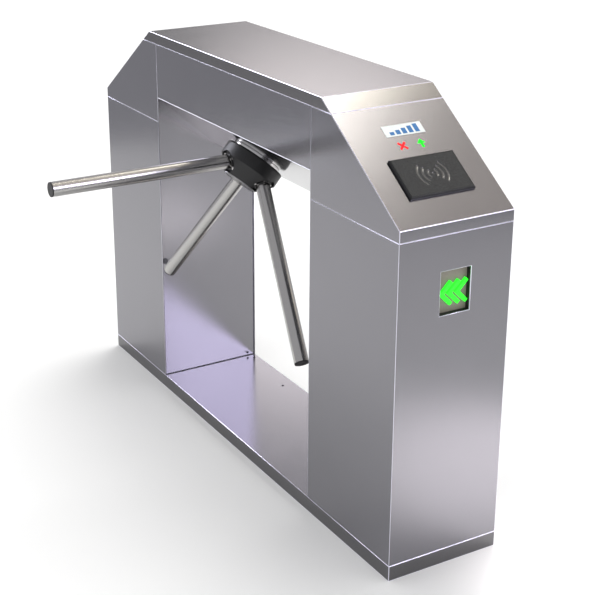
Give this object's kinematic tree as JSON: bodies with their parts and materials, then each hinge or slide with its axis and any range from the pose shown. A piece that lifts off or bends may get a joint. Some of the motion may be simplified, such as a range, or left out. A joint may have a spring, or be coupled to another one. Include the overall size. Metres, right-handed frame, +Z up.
{
  "type": "tripod turnstile",
  "caption": "Waist-high tripod turnstile with a bridge cabinet, three turning arms, a card reader and direction indicators.",
  "frame": {"origin": "on the floor at the centre of the cabinet's base plate", "axes": "+Y the walking direction from entry to exit, +Z up, -X towards the passage that the level arm closes"},
  "size_m": [0.7247, 1.4, 0.98],
  "materials": {
    "stainless": "satin brushed stainless sheet",
    "stainless_belly": "polished stainless sheet",
    "frame_steel": "satin grey paint",
    "galvanised": "zinc-plated steel",
    "machined_steel": "machined steel",
    "bearing_steel": "ground bearing steel",
    "hub_black": "satin black powder coat",
    "hub_cap_grey": "turned stainless",
    "arm_steel": "satin stainless tube",
    "black_plastic": "fine matt black plastic",
    "reader_face": "grained charcoal plastic",
    "plate_white": "gloss white plate",
    "red_light": "lit red light guide, emissive",
    "green_light": "lit green light guide, emissive",
    "indicator_panel": "matt warm grey diffuser",
    "screw_steel": "bright zinc screw",
    "lock_zinc": "nickel-plated zinc",
    "board_green": "solder-masked board",
    "supply_case": "perforated aluminium case",
    "solenoid_black": "black coated coil case"
  },
  "bodies": {
    "cabinet": {"base_tray": "stainless", "floor_cover": "stainless", "entry_casing": "stainless", "exit_casing": "stainless", "entry_service_panel": "stainless", "exit_service_panel": "stainless", "entry_hood": "stainless", "exit_hood": "stainless", "passage_panel": "stainless", "belly_plate": "stainless_belly", "back_panel": "stainless", "pedestal_frames": "frame_steel", "bridge_frame": "frame_steel", "hinge_leaf_cabinet": "stainless", "hinge_pin": "machined_steel", "lock_bodies": "lock_zinc", "reader_housing": "black_plastic", "reader_cover": "reader_face", "name_plate": "plate_white", "stop_light": "red_light", "go_light": "green_light", "light_board": "board_green", "indicator_boxes": "black_plastic", "indicator_panels": "indicator_panel", "indicator_chevrons": "green_light", "panel_screws": "screw_steel", "equipment_plate": "galvanised", "control_board": "board_green", "power_supply": "supply_case", "mechanism_plate": "galvanised", "bearing_housing": "machined_steel", "shaft_bearings": "bearing_steel", "mechanism_pillars": "machined_steel", "rear_plate": "galvanised", "collar_ring": "stainless", "lock_solenoids": "solenoid_black", "position_sensor": "black_plastic"},
    "lid": {"lid": "stainless", "hinge_leaf_lid": "stainless"},
    "tripod": {"hub_body": "hub_black", "hub_cap": "hub_cap_grey", "shaft": "machined_steel", "locking_wheel": "machined_steel", "centring_cam": "machined_steel", "encoder_disc": "machined_steel", "arm_1": "arm_steel", "arm_2": "arm_steel", "arm_3": "arm_steel", "arm_end_caps": "black_plastic", "arm_flanges": "hub_black", "arm_screws": "screw_steel"},
    "centring_lever": {"centring_lever": "galvanised"},
    "centring_roller": {"centring_roller": "bearing_steel"},
    "entry_pawl": {"entry_pawl": "machined_steel"},
    "exit_pawl": {"exit_pawl": "machined_steel"},
    "entry_plunger": {"entry_plunger": "machined_steel"},
    "exit_plunger": {"exit_plunger": "machined_steel"},
    "entry_lock": {"entry_lock_plug": "lock_zinc"},
    "exit_lock": {"exit_lock_plug": "lock_zinc"}
  },
  "joints": [
    {"name": "lid_hinge", "type": "hinge", "parent": "cabinet", "child": "lid", "pos_m": [0.1432, 0, 0.953], "axis": [0, 1, 0], "range_deg": [0, 85]},
    {"name": "tripod_turn", "type": "hinge", "parent": "cabinet", "child": "tripod", "pos_m": [-0.06049, 0, 0.74032], "axis": [-0.6561, 0, -0.7547], "continuous": true},
    {"name": "lever_swing", "type": "hinge", "parent": "cabinet", "child": "centring_lever", "pos_m": [-0.03925, -0.05, 0.85926], "axis": [-0.6561, 0, -0.7547], "range_deg": [-8, 0], "stiffness_Nm_per_rad": 0.6, "springref_deg": 8.59},
    {"name": "roller_spin", "type": "hinge", "parent": "centring_lever", "child": "centring_roller", "pos_m": [-0.03284, 0, 0.85368], "axis": [-0.6561, 0, -0.7547], "continuous": true},
    {"name": "exit_pawl_turn", "type": "hinge", "parent": "cabinet", "child": "exit_pawl", "pos_m": [0.02294, 0.07799, 0.78135], "axis": [0.6561, 0, 0.7547], "range_deg": [0, 12], "stiffness_Nm_per_rad": 0.5, "springref_deg": -17.19},
    {"name": "entry_pawl_turn", "type": "hinge", "parent": "cabinet", "child": "entry_pawl", "pos_m": [0.02294, -0.07799, 0.78135], "axis": [-0.6561, 0, -0.7547], "range_deg": [0, 12], "stiffness_Nm_per_rad": 0.5, "springref_deg": -17.19},
    {"name": "exit_plunger_pull", "type": "slide", "parent": "cabinet", "child": "exit_plunger", "axis": [0, 1, 0], "range_m": [0, 0.00524]},
    {"name": "entry_plunger_pull", "type": "slide", "parent": "cabinet", "child": "entry_plunger", "axis": [0, -1, 0], "range_m": [0, 0.00524]},
    {"name": "entry_lock_turn", "type": "hinge", "parent": "cabinet", "child": "entry_lock", "pos_m": [-0.1305, -0.377, 0.368], "axis": [0, 1, 0], "range_deg": [0, 90]},
    {"name": "exit_lock_turn", "type": "hinge", "parent": "cabinet", "child": "exit_lock", "pos_m": [-0.1305, 0.377, 0.368], "axis": [0, 1, 0], "range_deg": [0, 90]}
  ],
  "couplings": [
    {"joint": "exit_plunger_pull", "follows": "exit_pawl_turn", "m_per_rad": 0.024954},
    {"joint": "entry_plunger_pull", "follows": "entry_pawl_turn", "m_per_rad": 0.024954}
  ]
}
